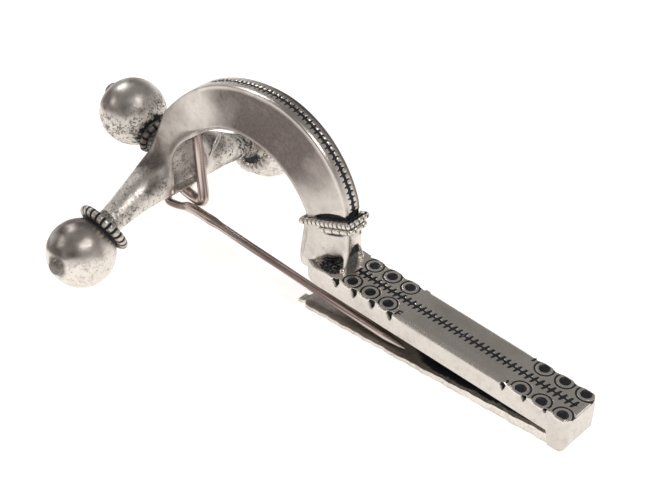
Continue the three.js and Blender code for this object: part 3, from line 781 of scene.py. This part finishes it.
def corded_row(name, at, half, tube, ribs, gap_from):
    """A cord cast round the neck: a rounded square loop of ribs with black between them."""
    hx, hy = half
    corner = tube + 0.12
    straight = [2 * (hx - corner), 2 * (hy - corner)]
    arc = corner * math.pi / 2
    length = 2 * sum(straight) + 4 * arc

    def path(d):
        """The place so far along the loop, and which way is out there."""
        for k, (heading, out, (sx, sy)) in enumerate(LOOP):
            run = straight[k % 2]
            centre = Vector((sx * (hx - corner), sy * (hy - corner)))
            if d <= run:
                return centre + heading * d + out * corner, out
            d -= run
            if d <= arc or k == 3:
                a = d / corner
                direction = out * math.cos(a) + heading * math.sin(a)
                return centre + heading * run + direction * corner, direction
            d -= arc

    steps = ribs * RIB_STEPS
    marks = {}

    def shape(i, v):
        spot, out = path(i % steps / steps * length)
        phase = abs(i / RIB_STEPS % 1 - 0.5) * 2
        uneven = 0.12 * noise.noise((i // RIB_STEPS * 1.7, at[1], 0))
        gap = smooth(gap_from + uneven, 0.97, phase)
        a = v * 2 * math.pi
        r = tube * (1 + 0.5 * uneven - 0.32 * gap)
        p = Vector((
            spot.x + out.x * (math.cos(a) * r - tube) + at[0],
            spot.y + out.y * (math.cos(a) * r - tube),
            at[1] + math.sin(a) * r,
        ))
        p = from_collar(*p)
        behind = smooth(0.2, 0.75, math.sin(a) - 0.5 * math.cos(a))
        behind *= smooth(0.4, 0.8, out.x) * (at[1] == 0)
        low = smooth(0.5, -0.2, math.sin(a))
        marks[key(p)] = max(gap * lerp(0.45, 1.1, low) * (1 + 2 * uneven), behind)
        return p

    bm = skin(range(steps + 1), 14, shape)
    make_piece(name, bm, lambda p: (marks.get(key(p), 0), 0.2), crease=60)


def neck_collar():
    """Two corded rows, the band between them, and the casting bead at the neck's foot."""
    corded_row("collar_upper", (0.05, 0), (5.0, 2.2), 0.48, 34, 0.5)
    corded_row("collar_lower", (1.35, -1.12), (3.2, 1.85), 0.45, 13, 0.74)
    bm = bmesh.new()
    bmesh.ops.create_cube(bm, size=1)
    for v in bm.verts:
        v.co = from_collar(v.co.x * 8.9, v.co.y * 3.2, v.co.z * 0.75)
    bevel = {"offset": 0.2, "segments": 2, "profile": 0.5, "affect": "EDGES", "material": -1}
    bmesh.ops.bevel(bm, geom=bm.edges[:], **bevel)
    make_piece("collar_core", bm, (0.6, 0.3))
    bm = bmesh.new()
    bmesh.ops.create_uvsphere(bm, u_segments=24, v_segments=14, radius=0.45)
    for v in bm.verts:
        v.co += Vector((-2.2, -1.75, 0.0))
    make_piece("casting_bead", bm)


# ---- Head ----
def bar_centre(y):
    return Vector((BAR_X, y, BAR_Z - BAR_FALL * abs(y) - BAR_SAG * y * y))


def bar_radius(y):
    return 1.9 + 3.4 * max(0, 1 - abs(y) / ARM_END) ** 2.1


def bead_y(y):
    """How far out the beaded collar is on that side."""
    return BEAD_NEAR if y < 0 else BEAD_FAR


def crossbar_blank():
    def shape(y, v):
        centre = bar_centre(y)
        tall = bar_radius(y)
        a = v * 2 * math.pi
        lift = 0.5 * hump((y - 7) / 3.2) * max(0, math.cos(a))
        return centre + Vector((min(tall, 3.45) * math.sin(a), 0, (tall + lift) * math.cos(a)))

    return add_shape(skin(spread(-18, 18, 72), 48, shape))


def root_blank():
    """The bow's root, from under the ladder line down into the crossbar."""
    def shape(t, v):
        outer, inner = bow_lines(t)
        tuck = 0.05 * smooth(-0.44, -0.38, t)
        p, part, _ = bow_section(outer, inner, bow_half(t) - tuck, low_edge_at(t), v)
        return p + into_bow(outer, inner) * (tuck if part in ("back", "ridge") else -tuck)

    return add_shape(skin(spread(-1, -0.37, 60), BOW_ROUND, shape))


def pocket_blank():
    """The hollow under the root, as wide as the bow leaves it."""
    cx, cz = ARCH_MIDDLE
    low = math.degrees(math.asin((-3.4 - cz) / ARCH_R_HEAD))
    steps = 24

    def shape(i, v):
        angle = lerp(low, 50, i / steps)
        half = arch_half(angle) - 0.85
        depth = 2.3 * min(1, 0.6 + 1.3 * (1 - i / steps))
        k = round(v * 4) % 4
        r = ARCH_R_HEAD + (depth if k > 1 else -5)
        y = half if k in (1, 2) else -half
        a = math.radians(angle)
        return Vector((cx - r * math.cos(a), y, cz + r * math.sin(a)))

    return add_shape(skin(range(steps + 1), 4, shape))


def block(x0, x1, y0, y1, z0, z1):
    bm = bmesh.new()
    bmesh.ops.create_cube(bm, size=1)
    for v in bm.verts:
        v.co = Vector((
            (x0 + x1) / 2 + v.co.x * (x1 - x0), (y0 + y1) / 2 + v.co.y * (y1 - y0),
            (z0 + z1) / 2 + v.co.z * (z1 - z0),
        ))
    return add_shape(bm)


def combined(operation, thing):
    return "BOOLEAN", {"solver": "EXACT", "operation": operation, "object": thing}


def softened(bm, weight, times):
    """Rounds a shape's corners off as far as weight, from 0 to 1, says at each point."""
    thing = add_shape(bm)
    group = thing.vertex_groups.new(name="soft")
    for v in thing.data.vertices:
        group.add([v.index], weight(v.co), "REPLACE")
    steps = {"factor": 0.5, "iterations": times, "vertex_group": "soft"}
    shaped = modified(thing, ("SMOOTH", steps))
    discard(thing)
    return shaped


def fillet(p):
    """Where the arms run into the root's sides."""
    beside = smooth(1.7, 2.8, abs(p.y)) * (1 - smooth(5.0, 9.5, abs(p.y)))
    return beside * smooth(9.5, 6.0, p.z) * smooth(-42.5, -40.0, p.x)


def head():
    """Crossbar and root cast as one, hollowed, with the soft corners of a casting."""
    bar, root, pocket = crossbar_blank(), root_blank(), pocket_blank()
    slot = block(SLOT["back"], BAR_X + 6, SLOT["near"], SLOT["far"], SLOT["low"], SLOT["high"])
    cheek = bmesh.new()
    radius, depth = 1.5, 1.3
    bmesh.ops.create_cone(
        cheek, cap_ends=True, segments=40, radius1=radius, radius2=radius, depth=depth
    )
    along_y = Matrix.Rotation(math.pi / 2, 3, "X")
    bmesh.ops.rotate(cheek, verts=cheek.verts, cent=(0, 0, 0), matrix=along_y)
    bmesh.ops.translate(cheek, verts=cheek.verts, vec=(PEG[0], SLOT["far"] + depth / 2, PEG[1]))
    lug = add_shape(cheek)
    whole = modified(
        bar,
        combined("UNION", root),
        combined("UNION", lug),
        combined("DIFFERENCE", pocket),
        combined("DIFFERENCE", slot),
        ("REMESH", {"mode": "VOXEL", "voxel_size": 0.17}),
        ("SMOOTH", {"factor": 0.5, "iterations": 5}),
    )
    whole = softened(whole, fillet, 420)
    discard(bar, root, pocket, slot, lug)
    cx, cz = ARCH_MIDDLE

    def wear_and_shade(p):
        r = math.hypot(p.x - cx, p.z - cz)
        half = arch_half(math.degrees(math.atan2(p.z - cz, cx - p.x)))
        inside = smooth(0.45, 0.75, half - abs(p.y)) * smooth(-0.1, 0.5, r - ARCH_R_HEAD)
        inside *= (1 - smooth(ARCH_R_HEAD + 2.4, ARCH_R_HEAD + 2.8, r)) * smooth(-42, -38, p.x)
        seam = 1 - smooth(0.06, 0.2, abs(r - ARCH_R_HEAD - 0.42))
        seam *= smooth(-0.2, 0.0, abs(p.y) - half + 0.15)
        seam *= 0.45 * smooth(2.0, 4.0, p.z)
        rim = 1 - smooth(0.08, 0.22, abs(half - 0.72 - abs(p.y)))
        rim *= smooth(-0.1, 0.2, r - ARCH_R_HEAD)
        rim *= (1 - smooth(1.4, 2.0, r - ARCH_R_HEAD)) * smooth(-38, -35, p.x) * (p.y < 0)
        # Painted shade next to each beaded collar, with black specks spread over the far arm.
        by_collar = 0.5 * smooth(bead_y(p.y) - 1.2, bead_y(p.y) - 0.8, abs(p.y))
        in_slot = p.z < SLOT["high"] + 0.25 and SLOT["near"] - 0.2 < p.y < SLOT["far"] + 0.2
        arm = smooth(3.0, 5.5, abs(p.y))
        centre = bar_centre(p.y)
        around = math.atan2(p.x - centre.x, p.z - centre.z)
        # Painted light on the arms: painted shade in bands above and below a painted highlight
        # stripe, painted shade in the fillet by the root and more further out at the root.
        patchy = 0.5 + 0.9 * noise.noise(p * 0.35) + 0.35 * noise.noise(p * 1.1)
        highlight_stripe = hump((around - 0.58) / 0.34) * smooth(13.0, 9.5, abs(p.y))
        above = hump((around + 0.15) / 0.4)
        below = hump((around - 1.25) / 0.28)
        fillet_shade = hump((abs(p.y) - 4.2) / 2.3, (around + 0.1) / 1.15)
        shade = hump((abs(p.y) - 6.8) / 1.4, (around - 0.85) / 0.4)
        shade_and_streaks = arm * (0.42 * above + 0.32 * below) * clamp(patchy * 1.4) * (1 - highlight_stripe)
        shade_and_streaks += (1.1 * fillet_shade + 0.9 * shade) * (0.75 + 0.4 * patchy)
        if p.y > 0:
            shade_and_streaks = max(shade_and_streaks, 0.5 * arm * smooth(0.35, 0.75, patchy))
            spotted = 0.42 + 0.5 * noise.noise(p * 1.6) + 0.5 * noise.noise(p * 3.7)
            by_collar *= clamp(spotted + 0.3)
            arm *= 1.3
            highlight_stripe = 0
            patchy = max(patchy, 0.45)
            spotted = clamp(spotted) * smooth(9.6, 11.2, p.y + patchy) * smooth(-0.9, 0.0, around)
            by_collar = max(by_collar, spotted)
        grain = max(0.9 * arm * (1 - 0.85 * highlight_stripe) * smooth(-0.3, 0.4, patchy), 0.8 * inside, 0.08)
        # Painted shade and painted reflection on the root's sides as on the bow's; painted shade
        # inside the pocket, and a little in the slot.
        side = (0.27 + 0.35 * patchy * smooth(-30, -35, p.x)) * smooth(2, 5, p.z)
        inside *= (0.45 + 0.4 * patchy) * smooth(-3.9, -2.4, p.z)
        black = max(by_collar, 0.1 if in_slot else 0.0, 0.8 * rim, seam)
        return black, grain, clamp(max(shade_and_streaks, inside, side))

    make_piece("head", whole, wear_and_shade, crease=70)


def turned(name, profile, place, around, marks, crease=50):
    """A turned piece: (radius, height) pairs spun round an axis, then placed."""
    def shape(ring, v):
        r, h = ring
        a = v * 2 * math.pi
        return place @ Vector((r * math.cos(a), r * math.sin(a), h))

    make_piece(name, skin(profile, around, shape), marks, crease=crease)


LEFT = Vector((-0.734, -0.679, 0))  # level, towards the left of the view, where the knobs get more painted shade


def knob(name, place, worn_end=0.45, dark_to=-2.9):
    """Onion knob with a small flat nub, its axis out along +Z of its place."""
    nub = math.asin(1.25 / KNOB_RADIUS)
    profile = []
    for a in spread(math.pi, nub, 56):
        swell = 1 + 0.012 * math.sin(2 * a)
        profile.append((KNOB_RADIUS * math.sin(a) * swell, KNOB_RADIUS * math.cos(a)))
    for r, height in ((1.18, 0.05), (1.1, 0.3), (0.95, 0.48), (0.7, 0.58), (0, 0.6)):
        profile.append((r, KNOB_RADIUS + height))
    profile[0] = (0, -KNOB_RADIUS)
    back = place.inverted()

    def wear_and_shade(p):
        q = back @ p
        speckle = 0.5 + 0.8 * noise.noise(p * 1.3) + 0.5 * noise.noise(p * 3.1)
        near_collar = (1 - smooth(dark_to - 1.4, dark_to, q.z + 0.7 * speckle)) * 0.95
        round_nub = hump((math.hypot(q.x, q.y) - 1.22) / 0.2) if q.z > 4.3 else 0.0
        # Painted reflection: the knob's top half is darkened, more towards the left of the view,
        # while its belly stays light.
        up = (TO_ROW.to_3x3() @ (p - place.translation)).normalized().z
        waist = 0.36 + 0.1 * noise.noise(p * 0.5)
        belly = 1 - smooth(waist - 0.14, waist, up)
        to_left = (p - place.translation).dot(LEFT) / KNOB_RADIUS
        patchy = 0.5 + 0.4 * to_left + 0.8 * noise.noise(p * 0.3) + 0.5 * noise.noise(p * 0.9)
        shade_and_streaks = smooth(waist - 0.05, waist + 0.1, up) * (0.15 + 0.85 * clamp(patchy))
        off = math.hypot(q.x, q.y) + 0.35 * noise.noise(p * 0.9)
        shade_and_streaks = max(shade_and_streaks, 0.85 * (1 - smooth(1.2, 2.0, off))) if q.z > 3.8 else shade_and_streaks
        grain = max(worn_end * belly, worn_end * (1 - smooth(-3.8, 1.2, q.z + speckle)), 0.1)
        return clamp(max(near_collar, 0.35 * round_nub)), grain, shade_and_streaks

    turned(name, profile, place, 72, wear_and_shade)


def beaded_collar(name, place, ring, tube, beads, soot, shade_and_streaks):
    """A ring of ribs with black between them, as much as soot(point) leaves."""
    steps = beads * RIB_STEPS
    marks = {}

    def shape(i, v):
        a = i / steps * 2 * math.pi
        phase = abs(i / RIB_STEPS % 1 - 0.5) * 2
        gap = smooth(0.42, 0.92, phase)
        b = v * 2 * math.pi
        r = tube * (1.03 - 0.26 * gap)
        out = ring + r * math.cos(b)
        p = place @ Vector((out * math.cos(a), out * math.sin(a), 0.82 * r * math.sin(b)))
        inner = smooth(0.0, 0.8, -math.cos(b))
        marks[key(p)] = max(smooth(0.05, 0.6, gap), inner) * soot(p)
        return p

    bm = skin(range(steps + 1), 18, shape)
    make_piece(name, bm, lambda p: (marks.get(key(p), 0), 0.15, shade_and_streaks), crease=60)


def all_round(_):
    return 1.0


def less_below(p):
    return lerp(0.3, 1, smooth(-3.6, -1.6, p.z))


def arm_ends():
    """Each arm's knob, its beaded collar and the disc inside the collar."""
    disc = [(0, 0), (BEAD_RING, 0), (BEAD_RING, 0.7), (2.8, 1.2), (0, 1.2)]
    for side, word, dark_to, soot in ((-1, "near", -2.2, all_round), (1, "far", -2.9, less_below)):
        swing = Matrix.Rotation(-side * KNOB_SWING, 4, "Z")
        axis = swing @ Matrix.Rotation(-side * (math.pi / 2 - KNOB_DROOP), 4, "X")
        centre = bar_centre(side * KNOB_Y)
        knob(f"knob_{word}", Matrix.Translation(centre) @ axis, dark_to=dark_to)
        slope = math.atan(BAR_FALL + 2 * BAR_SAG * bead_y(side))
        tilt = Matrix.Rotation(-side * (math.pi / 2 + slope), 4, "X")
        ring_at = Matrix.Translation(bar_centre(side * bead_y(side))) @ tilt
        beaded_collar(f"beads_{word}", ring_at, BEAD_RING, BEAD_TUBE, 24, soot, 0.3)
        turned(f"disc_{word}", disc, ring_at, 48, (1.0, 0.3))


def head_knob():
    """The knob behind the head, its small beaded collar and its stem."""
    tilt = Matrix.Rotation(HEAD_KNOB_TILT - math.pi / 2, 4, "Y")
    place = Matrix.Translation(HEAD_KNOB) @ tilt
    knob("knob_head", place, 1.1)
    ring_at = place @ Matrix.Translation((0, 0, -KNOB_RADIUS - 0.35))
    # The head's collar is darkened almost fully with painted shade.
    beaded_collar("beads_head", ring_at, 2.5, 0.62, 16, all_round, 0.9)
    low = -KNOB_RADIUS - 1.6
    stem = ((0, -3), (2.86, -3), (2.5, -1), (2.25, 1.2), (2.2, 3), (0, 3))
    turned("knob_stem", [(r, low + height) for r, height in stem], place, 48, (0.55, 0.6))


def cheek_edge():
    """The far cheek's edge, a rib from under the bow down to the wire's leg."""
    start, end = Vector((-36.2, 8.2, 0.3)), Vector((-33.55, 3.4, 0.0))
    across = (end - start).cross(Vector((0, 0, 1))).normalized()
    out = across.cross(end - start).normalized()
    swell = Vector((0.4, 0, 0.85))

    def shape(t, v):
        a = v * 2 * math.pi
        r = 0.34 * (1 - 0.9 * abs(2 * t - 1) ** 4)
        centre = start.lerp(end, t) + swell * math.sin(math.pi * t)
        return centre + across * (r * math.cos(a)) + out * (r * math.sin(a))

    make_piece("cheek_edge", skin(spread(0, 1, 24), 12, shape), (0, 0.5, 0.3))


def peg():
    """The peg that the wire turns round, across the slot."""
    turn = Matrix.Translation((PEG[0], 0.1, PEG[1])) @ Matrix.Rotation(math.pi / 2, 4, "X")
    r, end = PEG_RADIUS, PEG_REACH
    turned("pin_peg", [(0, -end), (r, -end), (r, end), (0, end)], turn, 24, (0.5, 0.4))


# ---- Pin ----
def wire_points():
    """The wire's route, from the top of its leg to the needle's point."""
    px, pz = PEG
    points = [(-32.2, 0, 6.9), (-31.7, 0, 0.825), (LEG_X, 0, LEG_LOW + LEG_BEND * 1.2)]
    for i in range(1, 5):
        a = math.radians(90 * i / 4 + 8)
        x = LEG_X - LEG_BEND * (1 - math.cos(a))
        points.append((x, 0, LEG_LOW + LEG_BEND * (1 - math.sin(a))))
    points.append((px + 2.0, 0, -5.25))
    for t in spread(0, 1, 8):
        a = math.radians(lerp(90, 270, t))
        x, z = px + TURN_RADIUS * math.cos(a), pz + TURN_RADIUS * math.sin(a)
        points.append((x, lerp(0, TURN_Y, t), z))
    start, straight_y = px + 6.5, -1.45
    points += [(px + 2.2, TURN_Y, pz - 0.75), (px + 4.2, -1.42, -6.4)]
    points.append((start, straight_y, NEEDLE_Z))
    for t in (0.3, 0.6, 0.85, 0.93, 1):
        points.append((lerp(start, NEEDLE_TIP, t), lerp(straight_y, -1.9, t), NEEDLE_Z))
    return [Vector(p) for p in points]


def smooth_line(points, step=0.35):
    """A smooth line through points, in steps of about that length."""
    line = []
    for i in range(len(points) - 1):
        a, b = points[max(0, i - 1)], points[i]
        c, d = points[i + 1], points[min(len(points) - 1, i + 2)]
        pieces = max(3, round((c - b).length / step))
        ab, bc, cd = ((q - p).length ** 0.5 or 1 for p, q in ((a, b), (b, c), (c, d)))
        m1 = (c - b) + bc * ((b - a) / ab - (c - a) / (ab + bc)) if a != b else (c - b)
        m2 = (c - b) + bc * ((d - c) / cd - (d - b) / (bc + cd)) if c != d else (c - b)
        for k in range(pieces):
            t = k / pieces
            line.append(
                (2 * t**3 - 3 * t**2 + 1) * b + (t**3 - 2 * t**2 + t) * m1
                + (3 * t**2 - 2 * t**3) * c + (t**3 - t**2) * m2
            )
    line.append(points[-1])
    return line


def pin():
    """One wire: the leg up in the hollow, its bend, the turn round the peg and the needle."""
    line = smooth_line(wire_points())
    across = Vector((0, 1, 0))
    frames = []
    marks = {}
    run = 0.0
    for i, p in enumerate(line):
        along = (line[min(i + 1, len(line) - 1)] - line[max(i - 1, 0)]).normalized()
        across = (across - along * across.dot(along)).normalized()
        taper = min(1.05, 0.12 + 0.93 * max(0, (NEEDLE_TIP - p.x) / 3.4) ** 0.6) if p.x > 2 else 1
        full = smooth(-34.5, -33, p.x) * (1 - smooth(-28, -26, p.x)) * smooth(7, 3, p.z)
        leg = smooth(-36.5, -35, p.x) * smooth(-0.9, -0.3, p.y) * smooth(7, 3, p.z) * (p.x < -28)
        taper *= 1 + max(0.24 * full, 0.36 * leg)
        run += (p - line[max(i - 1, 0)]).length
        if i < 3:
            taper = 0.7 + 0.1 * i
        frames.append((p, across.copy(), along.cross(across), WIRE * taper, run))

    def shape(spot, v):
        centre, side, up, r, run = spot
        a = v * 2 * math.pi
        p = centre + side * (r * math.cos(a)) + up * (r * math.sin(a))
        lines = noise.noise((2.6 * math.cos(a), 2.6 * math.sin(a), 0.1 * run))
        # Painted light: the low runs of the wire round the bend and the peg are lightened.
        painted_light_low = smooth(-3.6, -4.8, p.z) * smooth(-34.0, -32.4, p.x) * smooth(-28, -30, p.x)
        marks[key(p)] = clamp(0.5 + 1.3 * lines - 0.8 * painted_light_low)
        return p

    def streaks(p):
        return 0, 0, marks.get(key(p), 0.5)

    bm = skin(frames, 24, shape)
    make_piece("pin", bm, streaks, body="pin", node="pin_wire")


foot()
catch()
bow()
neck_collar()
head()
arm_ends()
head_knob()
cheek_edge()
peg()
pin()


# ---- Table, light and camera ----
# The camera, seen from the foot's own frame: degrees, and a lens in millimetres.
VIEW = {"azimuth": 42.782, "elevation": 39.551, "roll": 1.374, "lens": 77.54}
EYE = Vector((91.16, -106.13, 119.25))


def camera():
    """Sets the camera up, and gives its right, up and back directions as the brooch lies."""
    az, el, roll = (math.radians(VIEW[k]) for k in ("azimuth", "elevation", "roll"))
    back = Vector((math.sin(az) * math.cos(el), -math.cos(az) * math.cos(el), math.sin(el)))
    right = (-back).cross(Vector((0, 0, 1))).normalized()
    up = right.cross(-back)
    right, up = (
        right * math.cos(roll) + up * math.sin(roll), up * math.cos(roll) - right * math.sin(roll)
    )
    turn = TO_ROW.to_3x3() * 1000
    axes = Matrix([turn @ right, turn @ up, turn @ back]).transposed().to_4x4()
    data = bpy.data.cameras.new("camera")
    data.lens = VIEW["lens"]
    data.sensor_width = 36
    data.clip_start = 0.01
    eye = add_object("camera", data)
    eye.matrix_world = Matrix.Translation(TO_ROW @ EYE) @ axes
    bpy.context.scene.camera = eye
    return axes.to_3x3()


def soft_box(name, axes, aim, distance, size, power, colour=(1, 1, 1)):
    """A soft box, its direction from the brooch given right, up and back in the view."""
    direction = (axes @ Vector(aim)).normalized()
    data = bpy.data.lights.new(name, "AREA")
    data.shape = "RECTANGLE"
    data.size, data.size_y = size
    data.energy = power
    data.color = colour
    lamp = add_object(name, data)
    lamp.location = direction * distance + Vector((0, 0, 0.01))
    lamp.rotation_euler = direction.to_track_quat("Z", "Y").to_euler()


def table():
    """A pale table top that glows a little."""
    bm = bmesh.new()
    bmesh.ops.create_grid(bm, x_segments=1, y_segments=1, size=1.5)
    top = add_shape(bm, "table")
    f = Finish("pale_table")
    top.data.materials.append(f.close({
        "Base Color": (0.66, 0.65, 0.64, 1),
        "Roughness": 0.9,
        "Emission Color": (1.0, 0.985, 0.97, 1),
        "Emission Strength": 0.72,
    }))


def studio():
    """Light from all round, brighter low down than overhead."""
    world = bpy.data.worlds.new("studio")
    world.use_nodes = True
    nodes, links = world.node_tree.nodes, world.node_tree.links
    where = nodes.new("ShaderNodeTexCoord")
    split = nodes.new("ShaderNodeSeparateXYZ")
    rise = nodes.new("ShaderNodeMapRange")
    rise.interpolation_type = "SMOOTHSTEP"
    for i, value in ((1, 0.10), (2, 0.46), (3, 0.76), (4, 0.25)):
        rise.inputs[i].default_value = value
    links.new(where.outputs["Generated"], split.inputs[0])
    links.new(split.outputs["Z"], rise.inputs[0])
    links.new(rise.outputs[0], nodes["Background"].inputs["Strength"])
    nodes["Background"].inputs["Color"].default_value = (1.0, 0.972, 0.95, 1)
    bpy.context.scene.world = world
    bpy.context.scene.view_settings.view_transform = "Standard"


axes = camera()
table()
soft_box("key", axes, (0.40, 0.50, 0.767), 0.55, (0.18, 0.14), 0.75)
soft_box("front", axes, (0.17, 0.35, 0.92), 0.62, (0.13, 0.09), 0.36)
soft_box("back", axes, (-0.40, 0.88, -0.08), 0.55, (0.22, 0.14), 0.62)
soft_box("side", axes, (-1.0, 0.5, 0.3), 0.6, (0.3, 0.1), 0.25, (1, 0.97, 0.94))
studio()
